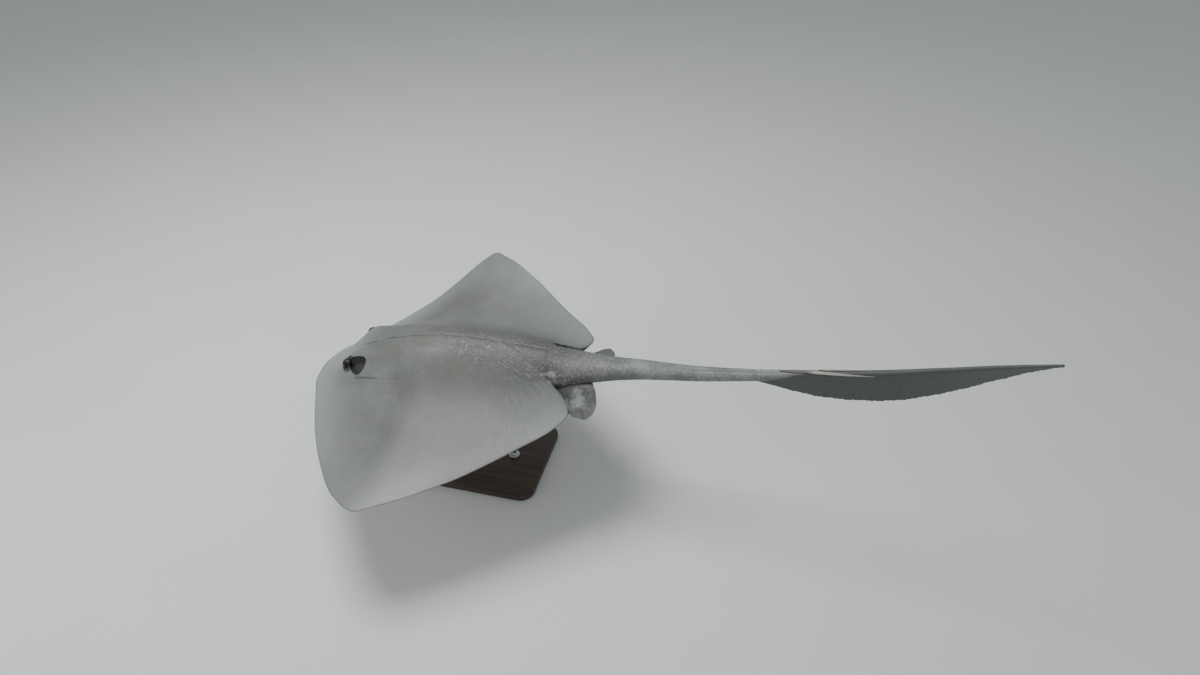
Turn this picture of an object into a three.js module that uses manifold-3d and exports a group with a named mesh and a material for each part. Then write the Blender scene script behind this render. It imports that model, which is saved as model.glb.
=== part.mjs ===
// Cowtail stingray: a still, life-size display model of the animal in mid wing beat,
// carried by a flat base with two short rods.
// Axes: -X is the snout, +X the tail, +Y the ray's right wing, +Z up. Millimetres.
import * as THREE from 'three';
import { mergeVertices } from 'three/addons/utils/BufferGeometryUtils.js';
import Module from 'manifold-3d';

const wasm = await Module();
wasm.setup();

// ---------------------------------------------------------------- driving sizes
const DISC_LENGTH = 880;          // snout tip to the rear lobes of the wings, mm
const GAP = 0.3;                  // clearance between sub-parts that touch, mm
const EDGE = 1.8;                 // thickness of the fin margins, mm
const PIVOT_HEIGHT = 330;         // height of the body's pivot over the floor, mm
const PIVOT_X = 0.5;              // where the pivot lies along the disc
const PITCH_DEG = 8.3;            // nose down
const ROLL_DEG = 1.9;             // left wing down

const BASE_SIZE = [520, 330, 18]; // stand base: length, width, thickness
const BASE_X = 20;                // centre of the base along the body
const BASE_CORNER = 45;
const ROD_RADIUS = 7;
const COLLAR_RADIUS = 17;
const COLLAR_HEIGHT = 9;
const ROD_X = [-120, 175];        // front rod, rear rod

// All lengths below are fractions of the disc length, so that the animal scales as one.
const HALF_WIDTH = 0.623;
const TAIL_TIP = 2.325;

// Outline of one side: x back from the snout, y out from the midline, and the
// point m of the midline that the fin rays of that part of the edge start from.
const OUTLINE = [
  [0.000, 0.000, 0.100],  // snout tip
  [0.011, 0.070, 0.130],
  [0.053, 0.156, 0.190],
  [0.140, 0.311, 0.280],
  [0.254, 0.467, 0.370],
  [0.362, 0.579, 0.440],
  [0.448, 0.623, 0.490],  // wing tip
  [0.505, 0.592, 0.530],
  [0.667, 0.467, 0.610],
  [0.833, 0.311, 0.675],
  [0.925, 0.225, 0.700],
  [0.958, 0.170, 0.708],  // rear lobe
  [0.930, 0.116, 0.716],
  [0.868, 0.082, 0.735],  // where the wing joins the body
  [0.880, 0.0855, 0.866],
  [0.930, 0.078, 0.930],
  [1.000, 0.064, 1.000],
  [1.080, 0.052, 1.080],
  [1.150, 0.0435, 1.150],
  [1.250, 0.033, 1.250],
  [1.350, 0.026, 1.350],
  [1.450, 0.0208, 1.450],
  [1.530, 0.0178, 1.530],
  [1.640, 0.0145, 1.640],
  [1.800, 0.0110, 1.800],
  [2.000, 0.0080, 2.000],
  [2.200, 0.0055, 2.200],
  [2.325, 0.0036, 2.325],
];
const STEPS = [2, 2, 3, 3, 2, 2, 2, 2, 2, 2, 1, 1, 2, 2, 1, 1, 1, 1, 1, 1, 1, 1, 1, 1, 1, 1, 1];
const ACROSS = [0, 0.07, 0.14, 0.21, 0.29, 0.38, 0.50, 0.65, 0.82, 0.95, 1];

// Heights along the midline, and how wide the raised body is.
const BACK = [[0, 0], [0.05, 0.025], [0.1, 0.050], [0.15, 0.078], [0.2, 0.101], [0.25, 0.117],
  [0.3, 0.126], [0.4, 0.135], [0.5, 0.138], [0.6, 0.134], [0.7, 0.123], [0.8, 0.107], [0.9, 0.089],
  [0.96, 0.078]];
const BELLY = [[0, 0], [0.05, 0.013], [0.1, 0.021], [0.2, 0.031], [0.3, 0.037], [0.45, 0.042],
  [0.6, 0.042], [0.75, 0.038], [0.88, 0.031], [0.95, 0.026]];
const BACK_WIDTH = [[0, 0.10], [0.1, 0.148], [0.2, 0.172], [0.3, 0.186], [0.45, 0.186],
  [0.55, 0.170], [0.65, 0.160], [0.75, 0.148], [0.88, 0.116], [0.96, 0.10]];
const BELLY_WIDTH = 0.30;
// Higher is a flatter back with steeper flanks.
const BACK_SQUARE = [[0, 2.8], [0.3, 2.8], [0.45, 2.4], [0.6, 2.1], [1, 2.1]];
// How high the margin climbs the flank, and how squarely the flesh closes toward it,
// by the ray's place on the midline.
const SEAT = [[0.69, 0], [0.708, 0.002], [0.716, 0.012], [0.735, 0.048], [0.80, 0.038],
  [0.866, 0.028], [0.95, 0.026]];
const CLOSING = [[0.1, 5], [0.69, 5], [0.716, 8], [0.735, 14], [0.80, 9], [0.866, 5], [1, 5]];
const FIN_TAPER = 0.018;          // half thickness gained per unit in from the margin
const TAIL_CENTRE = [[0.9, 0.025], [1.0, 0.026], [1.15, 0.029], [1.35, 0.026], [1.53, 0.030],
  [1.64, 0.038], [1.86, 0.053], [2.02, 0.072], [2.17, 0.090], [2.325, 0.104]];
const TAIL_HALF_HEIGHT = [[0.9, 0.054], [1.0, 0.044], [1.08, 0.036], [1.15, 0.031],
  [1.25, 0.0245], [1.35, 0.0205], [1.53, 0.0155], [1.64, 0.0125], [1.8, 0.0096],
  [2.0, 0.0070], [2.2, 0.0050], [2.325, 0.0034]];

// Wing beat: how far each wing is bent up, and how far its rear edge is twisted.
const WING_BEND = {
  '-1': [-0.010, -0.004, -0.021, -0.072, -0.747],
  1: [-0.006, 0.092, 0.051, 0.265, -0.490],
};
const BEND_CENTRE = 0.45;

const EYE = { x: 0.178, y: 0.092, z: 0.0858, radius: 0.0180 };
const MOUND = { x: 0.202, y: 0.077, rx: 0.056, ry: 0.031, height: 0.0195 };
const SPIRACLE = { x: 0.2275, y: 0.1065, z: 0.088, rx: 0.030, ry: 0.025, rz: 0.018, yaw: 0.30 };
const HEAD_END = 0.40;
const TRUNK_END = 0.94;
const TAIL_CUTS = [1.30, 1.62];
const CORE_WIDTH = [[-0.05, 0.05], [0, 0.06], [0.06, 0.10], [0.12, 0.13], [0.25, 0.155],
  [0.4, 0.168], [0.5, 0.18], [0.62, 0.175], [0.75, 0.14], [0.84, 0.105], [0.884, 0.0892],
  [0.99, 0.0892]];

// Soft fold under the tail: lower edge as a height over the tail axis line.
const FOLD_EDGE = [[1.500, 0.012], [1.56, -0.006], [1.62, -0.024], [1.70, -0.042], [1.81, -0.051],
  [1.92, -0.044], [2.05, -0.004], [2.17, 0.046], [2.26, 0.082], [2.318, 0.0985]];
const FOLD_ROOT = 3.4;            // thickness where it leaves the tail, mm
const FOLD_RIM = 1.6;             // thickness at its free edge, mm

const STINGS = [
  { name: 'sting_long', from: 1.615, to: 1.850, width: 0.0105, angle: [0.05, 1.02], lift: 0.0035 },
  { name: 'sting_short', from: 1.700, to: 1.805, width: 0.0070, angle: [-0.85, -0.55], lift: 0.001 },
];
const STING_THICKNESS = 3.2;      // mm
const STING_TEETH = 11;

// Pelvic fin: x of its root under the body, then x and y of its rim, from front to rear.
const PELVIC_RIM = [[0.850, 0.856, 0.050], [0.862, 0.888, 0.085], [0.876, 0.922, 0.122],
  [0.890, 0.955, 0.154], [0.905, 0.986, 0.174], [0.922, 1.010, 0.177], [0.940, 1.028, 0.158],
  [0.956, 1.035, 0.122], [0.972, 1.028, 0.082], [0.986, 1.010, 0.050]];
const PELVIC = { root: 0.030, thick: 0.006, drop: 0.010, hang: 0.018 };

// ---------------------------------------------------------------- small helpers
const mix = (a, b, k) => a + (b - a) * k;

function smooth(from, to, x) {
  const k = Math.min(1, Math.max(0, (x - from) / (to - from)));
  return k * k * (3 - 2 * k);
}

// Smooth curve through values at rising positions; a firm one never overshoots them.
function curve(places, values, x, firm = false) {
  const last = places.length - 1;
  let i = 0;
  while (i < last - 1 && x > places[i + 1]) i += 1;
  const slope = (j) => {
    const a = Math.max(0, j - 1);
    const b = Math.min(last, j + 1);
    if (!firm || a === j || b === j) return (values[b] - values[a]) / (places[b] - places[a]);
    const before = (values[j] - values[a]) / (places[j] - places[a]);
    const after = (values[b] - values[j]) / (places[b] - places[j]);
    return before * after > 0 ? 2 * before * after / (before + after) : 0;
  };
  const step = places[i + 1] - places[i];
  const k = Math.min(1, Math.max(0, (x - places[i]) / step));
  const [k2, k3] = [k * k, k * k * k];
  return values[i] * (2 * k3 - 3 * k2 + 1) + slope(i) * step * (k3 - 2 * k2 + k)
    + values[i + 1] * (3 * k2 - 2 * k3) + slope(i + 1) * step * (k3 - k2);
}

function along(table, x) {
  return curve(table.map((row) => row[0]), table.map((row) => row[1]), x);
}

// ---------------------------------------------------------------- the flesh
const OUTLINE_TIMES = [0];
for (let i = 1; i < OUTLINE.length; i += 1) {
  const run = Math.hypot(OUTLINE[i][0] - OUTLINE[i - 1][0], OUTLINE[i][1] - OUTLINE[i - 1][1]);
  OUTLINE_TIMES.push(OUTLINE_TIMES[i - 1] + Math.sqrt(run));
}

function outlineAt(time) {
  return [0, 1, 2].map((axis) => curve(OUTLINE_TIMES, OUTLINE.map((p) => p[axis]), time, true));
}

function wingLift(x, y) {
  const out = Math.abs(y) / HALF_WIDTH;
  const back = x - BEND_CENTRE;
  const [bend, curl, twist, wave, droop] = WING_BEND[y < 0 ? -1 : 1];
  return bend * out ** 2 + curl * out ** 3 + (twist * out ** 2 / (out + 0.08) + wave * out ** 2) * back
    + droop * out ** 2 * back ** 2;
}

function mound(x, y) {
  const dx = (x - MOUND.x) / MOUND.rx;
  const dy = (Math.abs(y) - MOUND.y) / MOUND.ry;
  return MOUND.height * Math.exp(-(dx * dx + dy * dy));
}

// A point of the skin: place along the outline, fraction out along the rib,
// side (-1 left, 1 right) and face (1 back, -1 belly).
function fleshPoint(time, out, side, face) {
  const [edgeX, edgeY, m] = outlineAt(time);
  const tail = smooth(0.84, 0.95, m);
  const r = mix(out, Math.sin(out * Math.PI / 2), tail);
  const x = mix(m, edgeX, r);
  const y = edgeY * r;
  const margin = EDGE / 2 / DISC_LENGTH;
  const fin = margin + FIN_TAPER * Math.hypot(edgeX - m, edgeY) * (1 - r);
  const edging = r ** along(CLOSING, m);
  const closing = 1 - edging;
  const flank = along(BACK_SQUARE, x);
  const back = along(BACK, x) * (1 + (y / along(BACK_WIDTH, x)) ** flank) ** -1.15;
  const seat = along(SEAT, m) * edging;
  const belly = along(BELLY, x) * (1 + (y / BELLY_WIDTH) ** 3) ** -0.8;
  const disc = face > 0 ? back * closing + fin + mound(x, y) : -belly * closing - fin;
  const oval = along(TAIL_HALF_HEIGHT, x) * Math.sqrt(Math.max(0, 1 - r ** 2.2)) + margin;
  const tube = along(TAIL_CENTRE, x) + face * oval;
  const z = mix(disc + seat + wingLift(x, side * y), tube, tail);
  return [x * DISC_LENGTH, side * y * DISC_LENGTH, z * DISC_LENGTH];
}

function signedVolume(positions, index) {
  const corner = (i) => new THREE.Vector3().fromArray(positions, 3 * index[i]);
  let total = 0;
  for (let i = 0; i < index.length; i += 3) {
    total += corner(i).dot(corner(i + 1).cross(corner(i + 2))) / 6;
  }
  return total;
}

// Closed skin from rings of equally many points, with a flat or merged end.
function ringsToGeometry(rings) {
  const count = rings[0].length;
  const positions = rings.flat(2);
  const index = [];
  for (let i = 0; i + 1 < rings.length; i += 1) {
    for (let j = 0; j < count; j += 1) {
      const a = i * count + j;
      const b = i * count + (j + 1) % count;
      index.push(a, b, a + count, b, b + count, a + count);
    }
  }
  for (const [start, flip] of [[0, true], [(rings.length - 1) * count, false]]) {
    const ring = rings[start / count];
    const centre = [0, 1, 2].map((axis) => ring.reduce((sum, p) => sum + p[axis], 0) / count);
    const apex = positions.length / 3;
    positions.push(...centre);
    for (let j = 0; j < count; j += 1) {
      const a = start + j;
      const b = start + (j + 1) % count;
      index.push(...(flip ? [b, a, apex] : [a, b, apex]));
    }
  }
  if (signedVolume(positions, index) < 0) index.reverse();
  const geometry = new THREE.BufferGeometry();
  geometry.setAttribute('position', new THREE.Float32BufferAttribute(positions, 3));
  geometry.setIndex(index);
  return geometry;
}

function fleshRings() {
  const times = [0];
  STEPS.forEach((steps, i) => {
    for (let k = 1; k <= steps; k += 1) {
      times.push(mix(OUTLINE_TIMES[i], OUTLINE_TIMES[i + 1], k / steps));
    }
  });
  const inward = [...ACROSS].reverse();
  return times.map((time) => [
    ...inward.map((out) => fleshPoint(time, out, -1, 1)),
    ...ACROSS.slice(1).map((out) => fleshPoint(time, out, 1, 1)),
    ...inward.map((out) => fleshPoint(time, out, 1, -1)),
    ...ACROSS.slice(1).map((out) => fleshPoint(time, out, -1, -1)),
  ]);
}

// ---------------------------------------------------------------- solid joins and cuts
function toSolid(geometry) {
  let plain = geometry.clone();
  plain.deleteAttribute('normal');
  plain.deleteAttribute('uv');
  plain = mergeVertices(plain, 1e-3);
  const kept = [];
  const index = plain.index.array;
  for (let i = 0; i < index.length; i += 3) {
    const [a, b, c] = [index[i], index[i + 1], index[i + 2]];
    if (a !== b && b !== c && c !== a) kept.push(a, b, c);
  }
  return new wasm.Manifold(new wasm.Mesh({
    numProp: 3,
    vertProperties: new Float32Array(plain.attributes.position.array),
    triVerts: new Uint32Array(kept),
  }));
}

function toGeometry(solid) {
  const mesh = solid.getMesh();
  const geometry = new THREE.BufferGeometry();
  geometry.setAttribute('position', new THREE.Float32BufferAttribute(mesh.vertProperties, 3));
  geometry.setIndex(Array.from(mesh.triVerts));
  return geometry;
}

function slab(fromX, toX, halfWidth = 1) {
  const length = (toX - fromX) * DISC_LENGTH - GAP;
  const box = new THREE.BoxGeometry(length, 2 * halfWidth * DISC_LENGTH, 1000);
  box.translate((fromX + toX) / 2 * DISC_LENGTH, 0, 0);
  return toSolid(box);
}

// Upright prism over a closed outline of [x, y] points.
function prism(points) {
  const shape = new THREE.Shape(points.map(([x, y]) => new THREE.Vector2(x, y)));
  const geometry = new THREE.ExtrudeGeometry(shape, { depth: 1000, bevelEnabled: false });
  geometry.translate(0, 0, -500);
  return toSolid(geometry);
}

function coreLine(offset) {
  const points = [];
  const steps = 16;
  for (let i = 0; i <= steps; i += 1) {
    const x = mix(CORE_WIDTH[0][0], CORE_WIDTH.at(-1)[0], i / steps);
    points.push([x * DISC_LENGTH, along(CORE_WIDTH, x) * DISC_LENGTH + offset]);
  }
  return points;
}

const coreEdge = coreLine(-GAP / 2);
const core = prism([...coreEdge, ...coreEdge.map(([x, y]) => [x, -y]).reverse()]);
const wingEdge = coreLine(GAP / 2);
const wingSide = [...wingEdge, [wingEdge.at(-1)[0], 900], [wingEdge[0][0], 900]];
const flesh = toSolid(ringsToGeometry(fleshRings()));

// ---------------------------------------------------------------- pose of the whole body
const pose = new THREE.Matrix4()
  .makeTranslation(0, 0, PIVOT_HEIGHT)
  .multiply(new THREE.Matrix4().makeRotationX(THREE.MathUtils.degToRad(ROLL_DEG)))
  .multiply(new THREE.Matrix4().makeRotationY(-THREE.MathUtils.degToRad(PITCH_DEG)))
  .multiply(new THREE.Matrix4().makeTranslation(-PIVOT_X * DISC_LENGTH, 0, 0));

// ---------------------------------------------------------------- materials
const skinGrey = { color: 0x7c8584, roughness: 0.46, metalness: 0 };
const looks = {
  skin: skinGrey,
  wing: { ...skinGrey, color: 0x86908f },
  tail: { ...skinGrey, color: 0x747d7b },
  pelvic: { ...skinGrey, color: 0x6c7371 },
  fold: { color: 0x2a2e2e, roughness: 0.5, metalness: 0 },
  eye: { color: 0x1b1a16, roughness: 0.12, metalness: 0 },
  sting: { color: 0xb9b2a0, roughness: 0.42, metalness: 0 },
  stingDark: { color: 0x57524a, roughness: 0.5, metalness: 0 },
  base: { color: 0x2c2b2a, roughness: 0.55, metalness: 0 },
  rod: { color: 0x9a9c9d, roughness: 0.32, metalness: 1 },
};

const stingray = new THREE.Group();
stingray.name = 'cowtail_stingray';

function addPart(name, solid, look, posed = true) {
  const geometry = toGeometry(solid);
  if (posed) geometry.applyMatrix4(pose);
  const flat = geometry.toNonIndexed();
  flat.computeVertexNormals();
  const mesh = new THREE.Mesh(flat, new THREE.MeshStandardMaterial(looks[look]));
  mesh.name = name;
  stingray.add(mesh);
}

// ---------------------------------------------------------------- eyes and spiracles
function ellipsoid(radii, centre, yaw = 0) {
  const ball = new THREE.SphereGeometry(1, 16, 8);
  ball.scale(...radii);
  ball.rotateZ(yaw);
  ball.translate(...centre);
  return toSolid(ball);
}

function eyeball(side, grow) {
  const radius = EYE.radius * DISC_LENGTH + grow;
  const centre = [EYE.x, side * EYE.y, EYE.z + wingLift(EYE.x, side * EYE.y)];
  return ellipsoid([radius, radius * 0.86, radius * 0.86], centre.map((v) => v * DISC_LENGTH));
}

function spiracle(side) {
  const { x, y, z, rx, ry, rz, yaw } = SPIRACLE;
  const centre = [x, side * y, z + wingLift(x, side * y)].map((v) => v * DISC_LENGTH);
  return ellipsoid([rx, ry, rz].map((v) => v * DISC_LENGTH), centre, side * yaw);
}

// ---------------------------------------------------------------- tail fold and stings
function foldSolid() {
  const rings = [];
  const steps = 18;
  for (let i = 0; i <= steps; i += 1) {
    const x = mix(FOLD_EDGE[0][0], FOLD_EDGE.at(-1)[0], i / steps);
    const top = (along(TAIL_CENTRE, x) - 0.6 * along(TAIL_HALF_HEIGHT, x)) * DISC_LENGTH;
    const rim = along(FOLD_EDGE, x) * DISC_LENGTH;
    const waist = mix(top, rim, 0.45);
    const ring = [[top, FOLD_ROOT], [waist, mix(FOLD_ROOT, FOLD_RIM, 0.7)], [rim, FOLD_RIM]];
    rings.push([
      ...ring.map(([z, thick]) => [x * DISC_LENGTH, -thick / 2, z]).reverse(),
      ...ring.map(([z, thick]) => [x * DISC_LENGTH, thick / 2, z]),
    ]);
  }
  const loweredTail = toSolid(toGeometry(flesh).translate(0, 0, -GAP));
  return toSolid(ringsToGeometry(rings)).subtract(loweredTail);
}

// A flat spine with backward teeth on both edges, lying round the tail at an angle.
function stingSolid({ from, to, width, angle, lift }) {
  const rings = [];
  const steps = STING_TEETH * 2;
  for (let i = 0; i <= steps; i += 1) {
    const k = i / steps;
    const x = mix(from, to, k);
    const turn = mix(angle[0], angle[1], k ** 1.3);
    const clear = STING_THICKNESS / 2 + GAP + EDGE / 2 + 0.5;
    const across = along(TAIL_HALF_HEIGHT, x) * 1.04 * DISC_LENGTH + clear + lift * DISC_LENGTH * k;
    const wide = Math.max(along(TAIL_HALF_HEIGHT, x), 0.0096) * 1.14 * DISC_LENGTH + clear;
    const centre = [-Math.sin(turn) * mix(across, wide, Math.abs(Math.sin(turn))),
      along(TAIL_CENTRE, x) * DISC_LENGTH + Math.cos(turn) * across];
    const tooth = k > 0.25 && i % 2 === 1 ? 0.82 : 1;
    const half = width * DISC_LENGTH / 2 * Math.min(1, 0.55 + k * 3) * (1.02 - k ** 2.5) * tooth;
    const thick = STING_THICKNESS / 2 * (1.05 - 0.75 * k);
    const [ct, st] = [Math.cos(turn), -Math.sin(turn)];
    const corner = (u, v) => [x * DISC_LENGTH, centre[0] + u * ct + v * st, centre[1] - u * st + v * ct];
    rings.push([corner(-half, -thick * 0.2), corner(-half * 0.4, thick), corner(half * 0.4, thick),
      corner(half, -thick * 0.2), corner(half * 0.45, -thick), corner(-half * 0.45, -thick)]);
  }
  return toSolid(ringsToGeometry(rings));
}

// ---------------------------------------------------------------- pelvic fins
function pelvicSolid(side) {
  const { root, thick, drop, hang } = PELVIC;
  const rings = [];
  const steps = 12;
  const places = PELVIC_RIM.map((row, i) => i);
  for (let i = 0; i <= steps; i += 1) {
    const k = i / steps;
    const at = k * (PELVIC_RIM.length - 1);
    const [rootX, rimX, rimY] = [0, 1, 2].map((axis) => curve(places, PELVIC_RIM.map((p) => p[axis]), at));
    const ring = [];
    const belly = [];
    for (let j = 0; j <= 7; j += 1) {
      const out = j / 7;
      const x = mix(rootX, rimX, out);
      const y = mix(root, rimY, out);
      const z = -drop - hang * smooth(0, 1, out);
      const half = thick * (1 - 0.5 * k) * (1 - smooth(0.1, 1, out) * 0.84);
      ring.push([x, side * y, z + half].map((v) => v * DISC_LENGTH));
      belly.push([x, side * y, z - half].map((v) => v * DISC_LENGTH));
    }
    const full = [...ring, ...belly.reverse()];
    rings.push(side > 0 ? full : full.reverse());
  }
  let fin = toSolid(ringsToGeometry(rings));
  for (const shift of [[0, 0, -GAP], [0, side * GAP, 0], [0, side * GAP, -GAP]]) {
    fin = fin.subtract(toSolid(toGeometry(flesh).translate(...shift)));
  }
  return fin;
}

// ---------------------------------------------------------------- the animal's sub-parts
let head = flesh.intersect(core).intersect(slab(-0.1, HEAD_END));
for (const side of [-1, 1]) {
  head = head.subtract(eyeball(side, GAP)).subtract(spiracle(side));
}
addPart('head', head, 'skin');
addPart('trunk', flesh.intersect(core).intersect(slab(HEAD_END, TRUNK_END)), 'skin');
addPart('wing_left', flesh.intersect(prism(wingSide.map(([x, y]) => [x, -y]))), 'wing');
addPart('wing_right', flesh.intersect(prism(wingSide)), 'wing');
addPart('tail_root', flesh.intersect(slab(TRUNK_END, TAIL_CUTS[0], CORE_WIDTH.at(-1)[1])), 'tail');
addPart('tail_middle', flesh.intersect(slab(TAIL_CUTS[0], TAIL_CUTS[1])), 'tail');
addPart('tail_end', flesh.intersect(slab(TAIL_CUTS[1], TAIL_TIP + 0.1)), 'tail');
addPart('tail_fold', foldSolid(), 'fold');
addPart('pelvic_fin_left', pelvicSolid(-1), 'pelvic');
addPart('pelvic_fin_right', pelvicSolid(1), 'pelvic');
addPart('eye_left', eyeball(-1, 0), 'eye');
addPart('eye_right', eyeball(1, 0), 'eye');
STINGS.forEach((sting, i) => addPart(sting.name, stingSolid(sting), i ? 'stingDark' : 'sting'));

// ---------------------------------------------------------------- display stand
function roundedPlate([length, width, thickness], corner) {
  const shape = new THREE.Shape();
  const [a, b] = [length / 2, width / 2];
  shape.moveTo(-a + corner, -b);
  shape.lineTo(a - corner, -b);
  shape.absarc(a - corner, -b + corner, corner, -Math.PI / 2, 0);
  shape.absarc(a - corner, b - corner, corner, 0, Math.PI / 2);
  shape.absarc(-a + corner, b - corner, corner, Math.PI / 2, Math.PI);
  shape.absarc(-a + corner, -b + corner, corner, Math.PI, Math.PI * 1.5);
  const bevel = 2;
  return new THREE.ExtrudeGeometry(shape, {
    depth: thickness - 2 * bevel,
    bevelThickness: bevel,
    bevelSize: bevel,
    bevelOffset: -bevel,
    bevelSegments: 1,
    curveSegments: 6,
  }).translate(0, 0, bevel);
}

const base = toSolid(roundedPlate(BASE_SIZE, BASE_CORNER).translate(BASE_X, 0, 0));
addPart('stand_base', base, 'base', false);
const lowered = toSolid(toGeometry(flesh).applyMatrix4(pose).translate(0, 0, -GAP));
['stand_rod_front', 'stand_rod_rear'].forEach((name, i) => {
  const profile = [[0, 0], [COLLAR_RADIUS, 0], [COLLAR_RADIUS, COLLAR_HEIGHT - 2],
    [COLLAR_RADIUS - 2, COLLAR_HEIGHT], [ROD_RADIUS, COLLAR_HEIGHT], [ROD_RADIUS, PIVOT_HEIGHT - 20],
    [0, PIVOT_HEIGHT - 20]].map(([r, z]) => new THREE.Vector2(r, z));
  const rod = new THREE.LatheGeometry(profile, 20).rotateX(Math.PI / 2);
  rod.translate(ROD_X[i], 0, BASE_SIZE[2] + GAP);
  addPart(name, toSolid(rod).subtract(lowered), 'rod', false);
});

export default stingray;
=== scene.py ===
"""Dresses the cowtail stingray: one continuous skin, dark eyes, toothed stings and a plain stand."""
import math
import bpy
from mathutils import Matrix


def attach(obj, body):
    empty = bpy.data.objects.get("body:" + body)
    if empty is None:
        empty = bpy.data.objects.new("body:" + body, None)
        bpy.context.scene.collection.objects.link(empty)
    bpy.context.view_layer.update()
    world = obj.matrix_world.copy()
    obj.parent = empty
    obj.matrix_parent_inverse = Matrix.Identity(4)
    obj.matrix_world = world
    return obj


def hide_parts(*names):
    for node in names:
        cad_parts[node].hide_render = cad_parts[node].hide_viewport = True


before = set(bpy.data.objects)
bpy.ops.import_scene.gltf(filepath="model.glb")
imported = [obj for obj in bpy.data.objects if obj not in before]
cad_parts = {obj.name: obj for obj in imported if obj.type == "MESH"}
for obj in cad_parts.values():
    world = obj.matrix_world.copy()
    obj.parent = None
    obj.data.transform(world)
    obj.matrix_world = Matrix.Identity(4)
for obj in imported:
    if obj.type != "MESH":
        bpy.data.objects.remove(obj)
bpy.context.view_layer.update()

from types import SimpleNamespace

import bpy
import numpy as np

# ------------------------------------------------------------------ sizes
# The animal is drawn in fractions of its disc length, which is DISC metres.
DISC = 0.88
HALF_WIDTH = 0.623              # half the disc's width
EDGE = 0.0018 / DISC            # thickness of the fin margins
PIVOT_X = 0.5                   # the body turns about this point of its midline
PIVOT_HEIGHT = 0.330            # metres over the floor
PITCH = math.radians(8.3)       # nose down
ROLL = math.radians(1.9)        # left wing down

# One side's edge: x back from the snout, y out from the midline, and the point of
# the midline where the fin rays that end there begin.
OUTLINE = np.array([
    (0.000, 0.000, 0.100), (0.011, 0.070, 0.130), (0.053, 0.156, 0.190), (0.140, 0.311, 0.280),
    (0.254, 0.467, 0.370), (0.362, 0.579, 0.440), (0.448, 0.623, 0.490), (0.505, 0.592, 0.530),
    (0.667, 0.467, 0.610), (0.833, 0.311, 0.675), (0.925, 0.225, 0.700), (0.958, 0.170, 0.708),
    (0.930, 0.116, 0.716), (0.868, 0.082, 0.735), (0.880, 0.0855, 0.866), (0.930, 0.075, 0.930),
    (1.000, 0.0590, 1.000), (1.080, 0.0450, 1.080), (1.150, 0.0378, 1.150), (1.250, 0.0305, 1.250),
    (1.350, 0.0255, 1.350), (1.450, 0.0208, 1.450), (1.530, 0.0178, 1.530), (1.640, 0.0145, 1.640),
    (1.800, 0.0110, 1.800), (2.000, 0.0080, 2.000), (2.200, 0.0055, 2.200), (2.325, 0.0036, 2.325)])
# Rows of points between each of these points and the next.
SECTIONS = [26, 36, 110, 56, 40, 26, 26, 46, 46, 30, 22, 22, 24, 30, 14, 20,
            20, 16, 22, 22, 22, 18, 26, 36, 44, 44, 28]
ACROSS = 150                    # points from the midline to the margin

# The back by x: height of its middle, half width of its rise, and how squarely that falls off.
BACK = [(0, 0), (0.05, 0.025), (0.1, 0.050), (0.15, 0.078), (0.2, 0.101), (0.25, 0.117), (0.3, 0.126),
        (0.4, 0.135), (0.5, 0.138), (0.6, 0.134), (0.7, 0.123), (0.8, 0.107), (0.9, 0.089), (0.96, 0.078)]
BACK_WIDTH = [(0, 0.10), (0.1, 0.148), (0.2, 0.172), (0.3, 0.186), (0.45, 0.186), (0.55, 0.170),
              (0.65, 0.160), (0.75, 0.148), (0.88, 0.116), (0.96, 0.10)]
BACK_SQUARE = [(0, 2.8), (0.3, 2.8), (0.45, 2.4), (0.6, 2.1), (1, 2.1)]
# How high the margin climbs the flank, and how squarely the flesh closes toward it,
# by the ray's place on the midline.
SEAT = [(0.69, 0), (0.708, 0.002), (0.716, 0.012), (0.735, 0.048), (0.80, 0.038), (0.866, 0.028),
        (0.95, 0.026)]
CLOSING = [(0.1, 5), (0.69, 5), (0.716, 8), (0.735, 14), (0.80, 9), (0.866, 5), (1, 5)]
BELLY = [(0, 0), (0.05, 0.013), (0.1, 0.021), (0.2, 0.031), (0.3, 0.037), (0.45, 0.042), (0.6, 0.042),
         (0.75, 0.038), (0.88, 0.031), (0.95, 0.026)]
BELLY_WIDTH = 0.30
FIN_TAPER = 0.018               # how fast the wings thicken inward from their margins
# The tail by x: half its width, height of its centre, half its height, and the fold's lower edge.
TAIL_HALF_WIDTH = OUTLINE[13:, [2, 1]]
TAIL_CENTRE = [(0.9, 0.025), (1.0, 0.0285), (1.15, 0.0335), (1.25, 0.0295), (1.35, 0.026), (1.53, 0.030),
               (1.64, 0.038), (1.86, 0.053), (2.02, 0.072), (2.17, 0.090), (2.325, 0.104)]
TAIL_HALF_HEIGHT = [(0.9, 0.054), (1.0, 0.0415), (1.08, 0.0310), (1.15, 0.0265), (1.25, 0.0226),
                    (1.35, 0.0200), (1.53, 0.0155), (1.64, 0.0125), (1.8, 0.0096), (2.0, 0.0070),
                    (2.2, 0.0050), (2.325, 0.0034)]
FOLD_EDGE = [(1.500, 0.012), (1.56, -0.006), (1.62, -0.024), (1.70, -0.042), (1.81, -0.051),
             (1.92, -0.044), (2.05, -0.004), (2.17, 0.046), (2.26, 0.082), (2.318, 0.0985)]
FOLD_ROOT = 0.0034 / DISC       # thickness of the fold at its root and at its rim
FOLD_RIM = 0.0016 / DISC

# The stand in metres: base length, width and thickness, its middle, corners and felt, and its rods.
BASE_SIZE = (0.520, 0.330, 0.018)
BASE_X = 0.020
BASE_CORNER = 0.045
BASE_SOFT_EDGE = 0.0035
FELT_THICKNESS = 0.0016
ROD_X = (-0.120, 0.175)
ROD_TOP = 0.300                 # over the floor, inside the belly
ROD_GAP = 0.0003                # between rod and base

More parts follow.
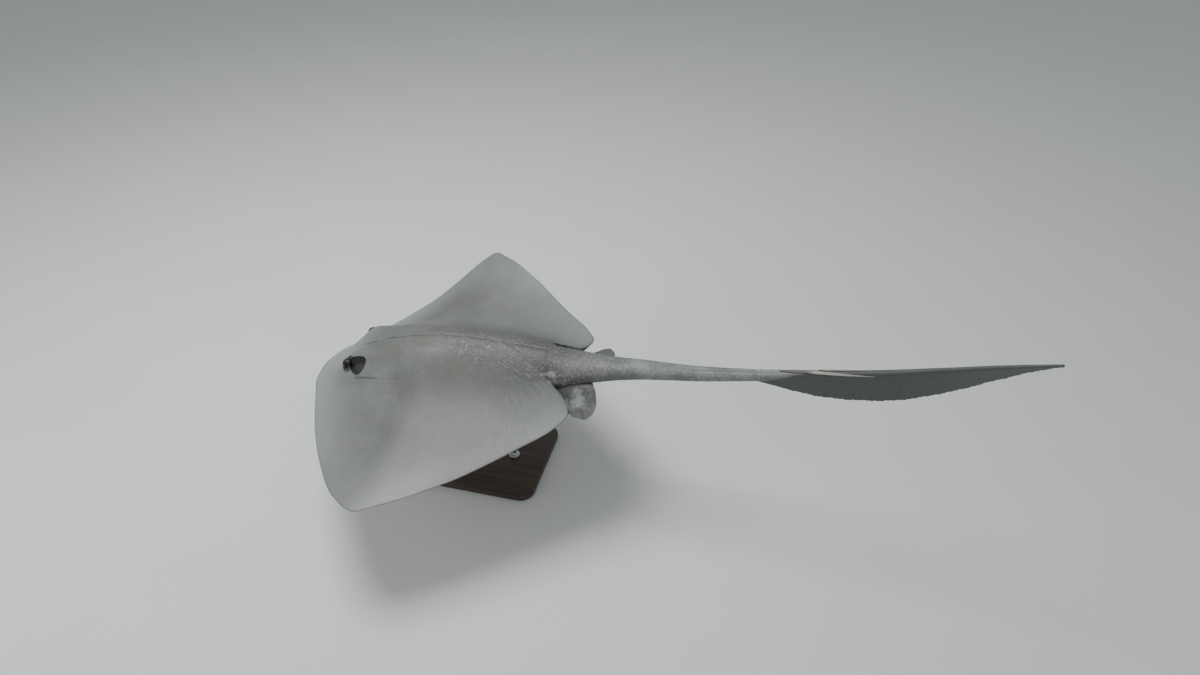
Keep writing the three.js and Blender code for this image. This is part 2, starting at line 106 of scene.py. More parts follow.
# Bend, curl, twist, wave and droop of each wing in this moment of its beat.
WING_BEND = {-1: (-0.010, -0.004, -0.021, -0.072, -0.747), 1: (-0.006, 0.092, 0.051, 0.265, -0.490)}
BEND_CENTRE = 0.45

# The head, the same on both sides: y counts outward. An oval is its centre and its reach in x and y.
EYE = (0.178, 0.0920, 0.0858)   # centre of the eyeball
EYE_RADIUS = 0.0180
EYE_FLATNESS = 0.86             # its height and width, to its length
LID_FOOT = -0.0095              # the lower lid's edge, from the eye's centre
LID_BEND = 22
BROW = (0.202, 0.077, 0.056, 0.031)
BROW_HEIGHT = 0.0195
SPIRACLE = (0.2275, 0.1122, 0.0310, 0.0243)
SPIRACLE_DEPTH = 0.024
EYE_HOLLOW = [(0.06, 0.105), (0.14, 0.135), (0.20, 0.150), (0.26, 0.160)]
SKIN_FOLD = [(0.20, 0.1395), (0.251, 0.1455), (0.294, 0.153), (0.33, 0.158), (0.367, 0.160), (0.44, 0.165)]
# The furrow down the back: its sideways drift, and where each of its lengths rises and fades.
FURROW = [(0.20, -0.028), (0.26, -0.020), (0.33, -0.010), (0.45, -0.004), (0.60, 0.0), (0.95, 0.0)]
FURROW_LENGTHS = [(0.215, 0.235, 0.262, 0.275), (0.290, 0.300, 0.45, 0.48), (0.50, 0.53, 0.66, 0.70),
                  (0.74, 0.77, 0.85, 0.89)]
# Half width of the rough denticle band along the back.
BAND = [(0, -0.06), (0.36, 0.0), (0.44, 0.045), (0.52, 0.068), (0.6, 0.078), (0.7, 0.085), (0.8, 0.086),
        (0.88, 0.08), (1.0, 0.07)]


# ------------------------------------------------------------------ small helpers
def mix(a, b, k):
    return a + (b - a) * k


def smooth(start, end, x):
    k = np.clip((x - start) / (end - start), 0, 1)
    return k * k * (3 - 2 * k)


def hill(x, centre, width):
    return np.exp(-((x - centre) / width) ** 2)


def span(x, start, full, fade, end):
    """1 between full and fade, 0 before start and past end, smooth between."""
    return smooth(start, full, x) * (1 - smooth(fade, end, x))


def mound(x, y, oval):
    centre_x, centre_y, reach_x, reach_y = oval
    return np.exp(-((x - centre_x) / reach_x) ** 2 - ((y - centre_y) / reach_y) ** 2)


def curve(places, values, x, firm=False):
    """A smooth curve through values at rising places; a firm one never overshoots them."""
    places, values = np.asarray(places, float), np.asarray(values, float)
    last = len(places) - 1
    i = np.clip(np.searchsorted(places, x) - 1, 0, last - 1)
    before, after = np.clip(np.arange(-1, last), 0, last), np.clip(np.arange(1, last + 2), 0, last)
    slope = (values[after] - values[before]) / (places[after] - places[before])
    if firm:
        rise = np.diff(values) / np.diff(places)
        product, total = rise[:-1] * rise[1:], rise[:-1] + rise[1:]
        slope[1:-1] = np.where(product > 0, 2 * product / np.where(product > 0, total, 1), 0)
    step = places[i + 1] - places[i]
    k = np.clip((x - places[i]) / step, 0, 1)
    k2, k3 = k * k, k ** 3
    return (values[i] * (2 * k3 - 3 * k2 + 1) + slope[i] * step * (k3 - 2 * k2 + k)
            + values[i + 1] * (3 * k2 - 2 * k3) + slope[i + 1] * step * (k3 - k2))


def along(table, x):
    places, values = zip(*table)
    return curve(places, values, x)


def ring_quads(index):
    """Quads between rings of points, each ring closed, by the numbers of their points."""
    turned = np.roll(index, -1, axis=1)
    return np.stack([index[:-1], index[1:], turned[1:], turned[:-1]], -1).reshape(-1, 4)


def in_metres(points):
    """Turns points of the level body into its pose over the floor, in metres."""
    x, y, z = ((points - (PIVOT_X, 0, 0)) * DISC).T
    x, z = x * math.cos(PITCH) - z * math.sin(PITCH), x * math.sin(PITCH) + z * math.cos(PITCH)
    y, z = y * math.cos(ROLL) - z * math.sin(ROLL), y * math.sin(ROLL) + z * math.cos(ROLL)
    return np.stack([x, y, z + PIVOT_HEIGHT], 1)


def mesh_object(name, points, faces, finish, marks=None):
    """A smooth-shaded mesh of quads or triangles, with named numbers on its points."""
    mesh = bpy.data.meshes.new(name)
    faces = [np.asarray(f, np.int32) for f in faces if len(f)]
    corners = np.concatenate([f.ravel() for f in faces])
    sizes = np.concatenate([np.full(len(f), f.shape[1], np.int32) for f in faces])
    mesh.vertices.add(len(points))
    mesh.vertices.foreach_set("co", np.asarray(points, np.float32).ravel())
    mesh.loops.add(len(corners))
    mesh.loops.foreach_set("vertex_index", corners)
    mesh.polygons.add(len(sizes))
    mesh.polygons.foreach_set("loop_start", np.concatenate([[0], np.cumsum(sizes)[:-1]]).astype(np.int32))
    mesh.polygons.foreach_set("use_smooth", np.ones(len(sizes), bool))
    mesh.update(calc_edges=True)
    mesh.validate()
    for mark, values in (marks or {}).items():
        layer = mesh.attributes.new(mark, "FLOAT", "POINT")
        layer.data.foreach_set("value", np.asarray(values, np.float32).ravel())
    mesh.materials.append(finish)
    piece = bpy.data.objects.new(name, mesh)
    bpy.context.scene.collection.objects.link(piece)
    return piece


# ------------------------------------------------------------------ shape of the flesh
OUTLINE_TIMES = np.concatenate([[0], np.cumsum(np.sqrt(np.hypot(*np.diff(OUTLINE[:, :2], axis=0).T)))])


def outline_at(time):
    return [curve(OUTLINE_TIMES, OUTLINE[:, axis], time, firm=True) for axis in range(3)]


def wing_lift(x, y):
    out, back = np.abs(y) / HALF_WIDTH, x - BEND_CENTRE
    bend, curl, twist, wave, droop = [np.where(y < 0, a, b) for a, b in zip(WING_BEND[-1], WING_BEND[1])]
    return (bend * out ** 2 + curl * out ** 3 + (twist * out ** 2 / (out + 0.08) + wave * out ** 2) * back
            + droop * out ** 2 * back ** 2)


def spiracle_ring(x, y):
    """1 on the rim of the spiracle, less inside it: straight inward, narrow and leaning back outward."""
    sx, sy, rx, ry = SPIRACLE
    v = (y - sy) / ry
    u = (x - sx - 0.30 * (y - sy)) / (rx * (1 - 0.28 * np.clip(v, -1, 1)))
    power = np.where(v < 0, 3.4, 2.0)
    return (np.abs(u) ** power + np.abs(v) ** power) ** (1 / power)


def crowd_head(x, y):
    """Gathers the skin's points at the rims of spiracle and eyelid, so that both have crisp edges."""
    ring = spiracle_ring(x, y)
    outer = smooth(-0.4, 0.5, (y - SPIRACLE[1]) / SPIRACLE[3])
    rings = [0, 0.45, 0.80, 1.00, 1.25, 1.7]
    under_brow = np.interp(ring, rings, [0, 0.80, 1.03, 1.01, 1.10, 1.7])
    open_side = np.interp(ring, rings, [0, 0.62, 0.93, 1.00, 1.12, 1.7])
    pull = np.where(ring < 1.7, mix(under_brow, open_side, outer) / np.maximum(ring, 0.01), 1)
    moved_x = SPIRACLE[0] + (x - SPIRACLE[0]) * pull
    moved_y = SPIRACLE[1] + (y - SPIRACLE[1]) * pull
    u, v = x - EYE[0], y - EYE[1]
    past_lid = v - (LID_FOOT + LID_BEND * u ** 2)
    near = np.hypot(u, v / EYE_FLATNESS) / EYE_RADIUS
    gathered = np.interp(past_lid, [-0.014, -0.005, 0.005, 0.014], [-0.014, -0.0012, 0.0012, 0.014])
    moved_y = moved_y + (gathered - past_lid) * (1 - smooth(1.1, 1.5, near))
    return moved_x, moved_y, ring, outer, past_lid


def middle_furrow(x, y, side):
    """How deep the furrow down the middle of the back is; it runs in broken lengths."""
    middle = side * y - along(FURROW, x) - 0.0016 * np.sin(x * 67) - 0.0007 * np.sin(x * 163)
    return hill(middle, 0, 0.0030) * sum(span(x, *length) for length in FURROW_LENGTHS)


def cheek(x, y):
    """Height of the hollow under the eye and the skin fold that leaves it backward, and how much painted
    shade they get.
    """
    hollow = hill(y, along(EYE_HOLLOW, x), 0.024) * span(x, 0.09, 0.17, 0.23, 0.31)
    line = along(SKIN_FOLD, x)
    reach = smooth(0.205, 0.235, x) * (1 - 0.65 * smooth(0.29, 0.33, x)) * (1 - smooth(0.36, 0.45, x))
    fold_line = hill(y, line, 0.0034) * reach
    z = -0.0040 * hollow - 0.0036 * fold_line + 0.0009 * hill(y, line + 0.0070, 0.0045) * reach
    z = z - 0.0016 * hill(y, line + 0.020, 0.008) * reach
    return z, np.maximum(0.9 * fold_line, 0.16 * hollow)


def eyelid(x, y, z, past_lid):
    """Draws the skin over the top of the eyeball, open to the side, with a low lid along its foot, and tells
    where the skin round the eye is painted dark as shade.
    """
    u, v = x - EYE[0], y - EYE[1]
    near = np.hypot(u, v / EYE_FLATNESS) / EYE_RADIUS
    ball = EYE[2] + np.sqrt(np.maximum(1.04 - near ** 2, 0)) * EYE_RADIUS * EYE_FLATNESS
    open_side = smooth(-0.002, 0.006, past_lid)
    z = z + (0.0030 * hill(near, 1.14, 0.12) - 0.0030 * hill(near, 0.92, 0.10)) * open_side
    lid, behind_ball = np.maximum(z, ball + 0.0014), np.minimum(z, ball - 0.0020)
    z = np.where(near < 1.02, mix(lid, behind_ball, smooth(-0.0035, 0.0030, past_lid)), z)
    toward_spiracle = 0.50 * smooth(0.0, 0.012, u)
    # painted shade: the skin round the eye, reaching toward the spiracle
    shown = smooth(-0.0125, -0.0070, past_lid) * (1 - smooth(1.08, 1.30, near - toward_spiracle))
    return z, shown


def back_height(x, y, side, closing, fin):
    """The level back: x and y (which counts outward) as gathered, height, and the marks of its features."""
    x, y, ring, outer, past_lid = crowd_head(x, y)
    z = along(BACK, x) * (1 + (y / along(BACK_WIDTH, x)) ** along(BACK_SQUARE, x)) ** -1.15 * closing + fin
    z = z + BROW_HEIGHT * mound(x, y, BROW)
    furrow = middle_furrow(x, y, side)
    z = z - 0.0030 * furrow - 0.0012 * hill(y, 0, 0.009) * smooth(0.3, 0.4, x)
    cheek_height, cheek_painted_shade = cheek(x, y)
    z = z + cheek_height
    # shoulder girdle and flank muscles
    z = z + 0.0030 * hill(x, 0.43, 0.05) * hill(y, 0.15, 0.05)
    z = z - 0.0020 * hill(y, 0.045, 0.016) * span(x, 0.30, 0.42, 0.60, 0.80)
    # spiracle: a dark hollow under the brow, with a soft rim on its outer side
    z = z + 0.0014 * outer * hill(ring, 1.16, 0.16)
    z = z - SPIRACLE_DEPTH * mix(1 - smooth(0.45, 1.02, ring), 0.85 * (1 - smooth(0.35, 1.0, ring)), outer)
    z, shown = eyelid(x, y, z, past_lid)
    # painted shade mask: the spiracle's inside and rim, with the skin round the eye
    pit = 1 - smooth(0.96, 1.10, ring)
    # the furrow mark carries painted shade for the furrow, the hollow under the eye and the skin fold
    return x, y, z, {"pit": np.maximum(pit, shown), "furrow": np.maximum(furrow, cheek_painted_shade)}


GILLS = [(0.300, 0.128), (0.337, 0.127), (0.372, 0.121), (0.405, 0.112), (0.435, 0.100)]
VENT = (0.895, 0, 0.016, 0.0042)
VENT_RIM = (0.895, 0.010, 0.024, 0.006)


def belly_height(x, y, closing, fin):
    """Height of the level belly, below zero, and the marks of its features."""
    z = -along(BELLY, x) * (1 + (y / BELLY_WIDTH) ** 3) ** -0.8 * closing - fin
    # mouth: an arched slit between two lips
    mouth_x = 0.192 + 0.006 * np.cos(np.clip(y / 0.052, -1, 1) * 2.6 * math.pi / 2)
    mouth_reach = 1 - smooth(0.046, 0.054, y)
    slit = hill(x, mouth_x, 0.0030) * mouth_reach
    z = z + 0.011 * slit
    z = z - 0.0030 * (hill(x, mouth_x + 0.010, 0.006) + 0.5 * hill(x, mouth_x - 0.008, 0.004)) * mouth_reach
    # nostrils at both ends of a fringed curtain that hangs in front of the mouth
    curtain_end = 0.1815 + 0.0035 * np.cos(y / 0.040 * math.pi) + 0.0006 * np.sin(y * 900)
    curtain = (smooth(0.136, 0.156, x) * (1 - smooth(curtain_end - 0.0008, curtain_end + 0.0008, x))
               * (1 - smooth(0.040, 0.046, y)))
    z = z - 0.0045 * curtain
    nostril_y = 0.0475 - 0.25 * (x - 0.160)
    nostril = hill(y, nostril_y, 0.0034) * span(x, 0.136, 0.146, 0.170, 0.180)
    z = z + 0.0075 * nostril
    # five gill slits, each a short groove under a thin flap
    slits = 0
    for gx, gy in GILLS:
        bow = gx + 0.10 * (y - gy) + 0.0016 * np.sin((y - gy) * 210)
        reach = 1 - smooth(0.013, 0.018, np.abs(y - gy))
        slits = slits + hill(x, bow, 0.0016) * reach
        z = z + 0.0036 * hill(x, bow, 0.0018) * reach - 0.0014 * hill(x, bow - 0.0042, 0.0030) * reach
    # vent between the pelvic fins, girdle lines of the belly
    vent = mound(x, y, VENT)
    z = z + 0.007 * vent - 0.0018 * mound(x, y, VENT_RIM)
    z = z - 0.0022 * hill(x, 0.47 + 0.35 * y, 0.020) * (1 - smooth(0.16, 0.24, y))
    return z, {"slit": np.clip(slit + nostril + slits + vent, 0, 1)}


def tail_section(x, out, face):
    """Half the tail's section: y outward and z, how far down the soft fold under it, its sway, and girth,
    which runs from 0 on top to 1 at the side and 2 underneath."""
    wide, high, centre = along(TAIL_HALF_WIDTH, x), along(TAIL_HALF_HEIGHT, x), along(TAIL_CENTRE, x)
    ragged = 0.0016 * np.sin(x * 137) * np.sin(x * 61) + 0.0009 * np.sin(x * 420 + 2)
    rim = along(FOLD_EDGE, x) + ragged * smooth(1.54, 1.64, x)
    depth = np.clip(centre - high - rim, 0, None) * smooth(1.498, 1.515, x)
    quarter = 0.8 * (wide + high)
    share = depth / (depth + quarter)
    turn = np.clip((1 - out) / (1 - share), 0, 1) * math.pi / 2
    root = np.minimum(FOLD_ROOT / 2 + 0.0016, 0.5 * wide) * smooth(0, 0.004, depth)
    oval_y = np.maximum(wide * np.cos(turn), root)
    flat_root = mix(0.72, 1, smooth(0.96, 1.16, x))
    oval_z = high * flat_root * np.sqrt(np.maximum(0, 1 - (oval_y / wide) ** 2.2)) + EDGE / 2
    down = np.clip((share - out) / np.maximum(share, 1e-6), 0, 1)
    flare = (root - FOLD_ROOT / 2) * np.exp(-down * depth / 0.003)
    fold_y = np.maximum(mix(FOLD_ROOT, FOLD_RIM, smooth(0, 0.7, down)) / 2 + flare, 0)
    fold_y = fold_y * np.sqrt(np.clip((1 - down) * depth / 0.0015, 0, 1))
    hanging = (out < share) & (face < 0)
    top_y = wide * np.sin(out * math.pi / 2)
    top_z = high * np.sqrt(np.maximum(0, 1 - (top_y / wide) ** 2.2)) + EDGE / 2
    y = np.where(face > 0, top_y, np.where(hanging, np.minimum(fold_y, oval_y), oval_y))
    z = centre + np.where(face > 0, top_z, -oval_z - np.where(hanging, depth * down, 0))
    sway = 0.0011 * np.sin(x * 17 + 1.0) * down * smooth(0.02, 0.06, depth)
    hang = np.where(hanging, down, 0) * smooth(0.0, 0.006, depth)
    return y, z, hang, sway, np.where(face > 0, out, 1 + turn / (math.pi / 2))


def ring_of_points():
    """Fractions out from the midline, close together at the margin, with side and face."""
    even = np.linspace(0, 1, 2000)
    crowded = np.cumsum(1 + 1.7 * hill(even, 0.38, 0.15) + 1.6 * hill(even, 0, 0.06))
    inner = np.interp(np.linspace(crowded[0], crowded[-1], ACROSS - 5), crowded, even) * 0.9925
    out = np.concatenate([inner, [0.9955, 0.9975, 0.9988, 0.9996, 1.0]])
    inward = out[::-1]
    r = np.concatenate([inward, out[1:], inward[1:], out[1:-1]])
    side = np.repeat([-1, 1, 1, -1], [len(out), len(out) - 1, len(out) - 1, len(out) - 2])
    face = np.repeat([1, 1, -1, -1], [len(out), len(out) - 1, len(out) - 1, len(out) - 2])
    return r, side, face


def flesh_surface():
    """Points, faces and marks of the whole skin, without the pelvic fins."""
    times = np.concatenate([[0]] + [
        OUTLINE_TIMES[i] + np.diff(OUTLINE_TIMES)[i] * np.arange(1, n + 1) / n
        for i, n in enumerate(SECTIONS)])
    out, side, face = ring_of_points()
    edge_x, edge_y, m = [a[:, None] for a in outline_at(times)]
    out, side, face = out[None], side[None], face[None]
    rib = np.hypot(edge_x - m, edge_y)
    x, y = mix(m, edge_x, out), edge_y * out
    margin_round = np.sqrt(1 - np.clip(1 - (1 - out) * rib / (EDGE / 2), 0, 1) ** 2)
    fin = EDGE / 2 * margin_round + FIN_TAPER * rib * (1 - out)
    edging = out ** along(CLOSING, m)
    top_x, top_y, top, top_marks = back_height(x, y, side, 1 - edging, fin)
    under, under_marks = belly_height(x, y, 1 - edging, fin)
    x, y = np.where(face > 0, top_x, x), np.where(face > 0, top_y, y)
    ripple = 0.0010 * np.sin(times[:, None] * 7 + side * 1.3) + 0.0005 * np.sin(times[:, None] * 17 + side)
    lift = (wing_lift(x, side * y) + ripple * smooth(0.75, 1, out) * smooth(0.25, 0.5, y)
            + along(SEAT, m) * edging)
    disc = np.where(face > 0, top, under) + lift
    tail = smooth(0.84, 0.95, m)
    tail_y, tail_z, hang, sway, girth = tail_section(np.maximum(m, 0.88), out, face)
    points = np.stack([mix(x, m, tail) + 0 * out, side * mix(y, tail_y, tail) + sway * tail,
                       mix(disc, tail_z, tail)], -1)
    rings, count = points.shape[:2]
    points[0, :, 1] = 0
    index = np.arange(rings * count).reshape(rings, count)
    # the first ring lies flat on the midline, so its right side takes the points of its left side
    half = (count + 4) // 4
    mirrored = np.arange(count)
    mirrored[half:2 * half - 1] = np.arange(half - 2, -1, -1)
    mirrored[2 * half - 1:3 * half - 2] = np.arange(count - 1, count - half, -1)[:half - 1]
    index[0] = index[0][mirrored]
    tip = points[-1].mean(0) + (0.0016, 0, 0)
    cap = np.stack([index[-1], np.full(count, rings * count), np.roll(index[-1], -1)], -1)

    def grid(values):
        """One number for each point of the rings, and 0 for the tip."""
        return np.append(np.broadcast_to(values, (rings, count)).ravel(), 0)

    flank = smooth(0.45, 0.75, out) * smooth(0.70, 0.80, m)
    on_back = np.where(face > 0, 1 - 0.5 * smooth(0.994, 1, out) * (1 - flank),
                       np.maximum(0.5 * smooth(0.994, 1, out), flank))
    marks = {
        "x": grid(mix(x, m, tail)), "y": grid(mix(y, tail_y, tail)), "side": grid(side),
        "out": grid(out), "ray": grid(times[:, None]),
        "back": grid(mix(on_back, np.where(face > 0, 1, 0.8), tail)),
        "edge": grid((1 - out) * rib * (1 - tail) + tail * 0.5),
        "tail": grid(tail), "fold": grid(hang * tail),
        "band": grid(y - along(BAND, x)), "girth": grid(girth),
        "pit": grid(np.where(face > 0, top_marks["pit"], 0) * (1 - tail)),
        "furrow": grid(np.where(face > 0, top_marks["furrow"], 0) * (1 - tail)),
        "slit": grid(np.where(face < 0, under_marks["slit"], 0) * (1 - tail)),
    }
    return np.vstack([points.reshape(-1, 3), tip]), ring_quads(index), cap, marks


# Pelvic fin: x of its root under the body, then x and y of its rim, from front to rear.
PELVIC_RIM = np.array([
    (0.850, 0.856, 0.050), (0.862, 0.888, 0.085), (0.876, 0.922, 0.122), (0.890, 0.955, 0.154),
    (0.905, 0.986, 0.174), (0.922, 1.010, 0.177), (0.940, 1.028, 0.158), (0.956, 1.035, 0.122),
    (0.972, 1.028, 0.082), (0.986, 1.010, 0.050)])
# Its root's distance from the midline, half thickness, and heights of its root and of its rim.
PELVIC = {"root": 0.030, "thick": 0.006, "high": 0.014, "low": -0.028}
PELVIC_RINGS = 96
PELVIC_ACROSS = 56


def pelvic_surface(side):
    """One pelvic fin, a thick-rooted lobe that comes out from under the wing's rear edge."""
    k = (1 - np.cos(np.linspace(0, math.pi, PELVIC_RINGS)))[:, None] / 2
    out = np.sin(np.linspace(0, 1, PELVIC_ACROSS)[None] * math.pi / 2)
    last = len(PELVIC_RIM) - 1
    root_x, rim_x, rim_y = [curve(np.arange(last + 1), PELVIC_RIM[:, axis], k * last) for axis in range(3)]
    x = mix(root_x, rim_x, out)
    reach = rim_y + (0.0010 * np.sin(k * 37) + 0.0006 * np.sin(k * 83)) * smooth(0.1, 0.3, k)
    y = mix(PELVIC["root"], reach, out)
    span = np.hypot(rim_x - root_x, rim_y)
    closing = np.sqrt(np.clip((1 - out) * span / 0.003, 0, 1))
    thick = PELVIC["thick"] * (1 - 0.5 * k) * (1 - 0.84 * smooth(0.1, 1, out)) * closing
    level = mix(PELVIC["high"], PELVIC["low"], smooth(0.058, 0.135, y))
    level = level + (0.0016 * np.sin(k * 23 + out * 3) + 0.0007 * np.sin(k * 61)) * out ** 2
    sheets = [np.stack([x, side * y + 0 * x, level + way * thick], -1) for way in (1, -1)]
    rings, count = x.shape
    index = np.arange(rings * count).reshape(rings, count)
    quads = np.stack([index[:-1, :-1], index[1:, :-1], index[1:, 1:], index[:-1, 1:]], -1).reshape(-1, 4)
    lower = quads[:, ::-1] + rings * count
    rim = np.concatenate([index[0], index[1:, -1], index[-1, -2::-1], index[-2:0:-1, 0]])
    seam = np.stack([rim, np.roll(rim, -1), np.roll(rim, -1) + rings * count, rim + rings * count], -1)
    quads = np.vstack([quads, lower, seam[:, ::-1]])
    marks = {"x": x, "y": y + 0 * x, "side": side + 0 * x, "out": out + 0 * x, "ray": 4 + out * 0.5 + k * 0.4,
             "edge": (1 - out) * span, "pelvic": 1 + 0 * x, "band": 0.03 + 0 * x}
    marks = {mark: np.tile(values.ravel(), 2) for mark, values in marks.items()}
    marks["back"] = np.repeat([1.0, 0.0], rings * count)
    return np.vstack([s.reshape(-1, 3) for s in sheets]), quads if side > 0 else quads[:, ::-1], marks


# ------------------------------------------------------------------ shader writing
class Signal:
    """A shader value that adds its own Math nodes where it is used in an expression."""

    def __init__(self, finish, socket):
        self.finish, self.socket = finish, socket

    def _math(self, operation, first, second=None):
        values = {0: first} if second is None else {0: first, 1: second}
        return self.finish.node("ShaderNodeMath", {"operation": operation}, values)

    def __add__(self, other):
        return self._math("ADD", self, other)

    def __radd__(self, other):
        return self._math("ADD", other, self)

    def __sub__(self, other):
        return self._math("SUBTRACT", self, other)

    def __rsub__(self, other):
        return self._math("SUBTRACT", other, self)

    def __mul__(self, other):
        return self._math("MULTIPLY", self, other)

    def __truediv__(self, other):
        return self._math("DIVIDE", self, other)

    def __pow__(self, other):
        return self._math("POWER", self, other)

    def least(self, other):
        return self._math("MINIMUM", self, other)

    def most(self, other):
        return self._math("MAXIMUM", self, other)

    def size(self):
        return self._math("ABSOLUTE", self)

    def step(self, start, end):
        """0 below start, 1 above end, smooth between; falls where start is the larger."""
        settings = {"interpolation_type": "SMOOTHSTEP", "clamp": True}
        low, high, flip = (start, end, False) if start < end else (end, start, True)
        values = {"Value": self, "From Min": low, "From Max": high,
                  "To Min": 1.0 if flip else 0.0, "To Max": 0.0 if flip else 1.0}
        return self.finish.node("ShaderNodeMapRange", settings, values)

    def between(self, start, full, fade, end):
        """1 between full and fade, 0 before start and past end, smooth between."""
        return self.step(start, full) * self.step(end, fade)


class Finish:
    """A procedural material and the nodes that make it."""

    def __init__(self, name):
        self.material = bpy.data.materials.new(name)
        self.material.use_nodes = True
        self.tree = self.material.node_tree
        self.tree.nodes.clear()

    def node(self, kind, settings=None, values=None, output=0):
        made = self.tree.nodes.new(kind)
        for name, value in (settings or {}).items():
            setattr(made, name, value)
        for name, value in (values or {}).items():
            socket = made.inputs[name]
            if isinstance(value, Signal):
                self.tree.links.new(value.socket, socket)
            elif isinstance(value, tuple) and len(value) == 3 and socket.type == "RGBA":
                socket.default_value = (*value, 1)
            else:
                socket.default_value = value
        return Signal(self, made.outputs[output])

    def mark(self, name):
        return self.node("ShaderNodeAttribute", {"attribute_name": name}, output="Fac")

    def noise(self, place, scale, detail, roughness=0.5, distortion=0.0):
        return self.node("ShaderNodeTexNoise", {}, {"Vector": place, "Scale": scale, "Detail": detail,
                                                    "Roughness": roughness, "Distortion": distortion})

    def vector(self, x, y, z=0.0):
        return self.node("ShaderNodeCombineXYZ", {}, {"X": x, "Y": y, "Z": z})

    def tint(self, base, colour, amount):
        return self.node("ShaderNodeMix", {"data_type": "RGBA", "clamp_factor": True},
                         {"Factor": amount, 6: base, 7: colour}, output=2)

    def bump(self, height, distance, strength):
        return self.node("ShaderNodeBump", {}, {"Height": height, "Distance": distance, "Strength": strength})

    def shade(self, **sockets):
        names = {"colour": "Base Color", "roughness": "Roughness", "metallic": "Metallic", "normal": "Normal",
                 "coat": "Coat Weight", "coat_roughness": "Coat Roughness", "specular": "Specular IOR Level"}
        shader = self.node("ShaderNodeBsdfPrincipled", {}, {names[k]: v for k, v in sockets.items()})
        output = self.tree.nodes.new("ShaderNodeOutputMaterial")
        self.tree.links.new(shader.socket, output.inputs["Surface"])
        return self.material


# ------------------------------------------------------------------ finishes
GREY = (0.080, 0.083, 0.081)
GREY_BROWN = (0.092, 0.082, 0.067)
FLECK_PALE = (0.340, 0.345, 0.325)
PORE_DARK = (0.034, 0.037, 0.035)
GREY_LIGHT = (0.240, 0.256, 0.256)
GREY_DARK = (0.058, 0.061, 0.059)
# painted shade colour for the middle of the left wing
CORE_PAINTED_SHADE = (0.040, 0.042, 0.041)
BAND_DARK = (0.078, 0.081, 0.076)
FOLD_BLACK = (0.060, 0.068, 0.067)
FOLD_PALE = (0.110, 0.124, 0.121)
BELLY_WHITE = (0.640, 0.610, 0.570)
BELLY_PINK = (0.560, 0.430, 0.385)
# painted shade colour for the spiracle and the skin round the eye
PIT_SHADE = (0.022, 0.026, 0.024)
SLIT_RED = (0.12, 0.06, 0.05)
DENTINE_PALE = (0.37, 0.345, 0.305)
DENTINE_DULL = (0.22, 0.21, 0.185)
# Oval patches of the skin, as centre and reach in x and y.
# the eye socket oval is painted shade between the eye and the spiracle
EYE_SOCKET_SHADE = (0.190, 0.101, 0.031, 0.021)
PELVIC_JOINT = (0.896, 0.079, 0.045, 0.020)
PELVIC_WORN = (0.972, 0.104, 0.024, 0.027)
DARK_TAIL_FROM = 1.585          # x where the tail starts to turn all dark


def spot(x, y, oval):
    """1 in the middle of an oval patch, 0 on its rim and less outside it."""
    centre_x, centre_y, reach_x, reach_y = oval
    return 1 - ((x - centre_x) / reach_x) ** 2 - ((y - centre_y) / reach_y) ** 2


def old_scratches(f, s):
    """Thin slanted lines behind the shoulders."""
    slanted = f.vector((s.x + s.y * 0.2) * 22.0, (s.y - s.x * 0.2) * 260.0)
    lines = f.noise(slanted, 1.0, 2.0).step(0.58, 0.64) * s.x.between(0.68, 0.73, 0.83, 0.88)
    return lines * s.y.between(0.055, 0.075, 0.100, 0.118) * s.clouds.step(0.42, 0.52)


def skin_signals(f):
    """The marks of the skin's points, and the noises and regions that its colour and relief share."""
    marks = ("x", "y", "out", "ray", "side", "back", "edge", "tail", "fold", "band", "girth", "pit", "furrow",
             "slit", "pelvic")
    s = SimpleNamespace(**{mark: f.mark(mark) for mark in marks})
    s.place = f.node("ShaderNodeTexCoord", output="Object")
    s.clouds = f.noise(s.place, 5.0, 4.0, 0.55)
    s.patches = f.noise(s.place, 13.0, 5.0, 0.6)
    s.blotches = f.noise(s.place, 30.0, 5.0, 0.65)
    s.mottle = f.noise(s.place, 75.0, 5.0, 0.7)
    s.flecks = f.noise(s.place, 140.0, 4.0, 0.7)
    s.grain = f.noise(s.place, 240.0, 4.0, 0.65)
    s.streaks = f.noise(f.vector(s.ray * 150.0, s.out * 4.0), 1.0, 2.0, 0.6)
    s.fold_rays = f.noise(f.vector(s.x * 70.0, s.fold * 2.0), 1.0, 3.0, 0.6)
    s.disc = 1 - s.tail
    s.hanging = s.fold.step(0.0, 0.06)
    s.dusky = (s.girth + (s.x - DARK_TAIL_FROM) * 7.5 + (s.blotches - 0.5) * 0.6).step(0.85, 1.15) * s.tail
    # rough dark band of denticles down the middle of the back and on to the tail, with a ragged border
    ragged = s.band + (s.blotches - 0.5) * 0.045 + (s.clouds - 0.5) * 0.03 + (s.mottle - 0.5) * 0.03
    s.denticled = (ragged.step(0.020, -0.018) * s.x.step(0.34, 0.62)).most(s.tail * 0.7) * (1 - s.hanging)
    border = s.band.size().step(0.026, 0.0) * s.x.step(0.45, 0.65) * s.disc
    # fin rays toward the margins, the rear part of the wings, and the joints of the pelvic fins
    s.rays = s.out.step(0.45, 0.85) * s.disc * s.edge.step(0.20, 0.03)
    s.rear = s.x.step(0.66, 0.80) * s.disc * s.band.step(0.005, 0.03)
    s.joint = spot(s.x, s.y, PELVIC_JOINT).step(0.0, 0.5) * s.back.step(0.4, 0.6) * (1 - s.pelvic)
    s.rough = (s.denticled * 0.75).most(border * 0.6).most(s.pelvic * 0.9)
    s.rough = s.rough.most(s.tail * (1 - s.dusky) * 0.8).most(s.joint)
    s.scratches = old_scratches(f, s)
    return s


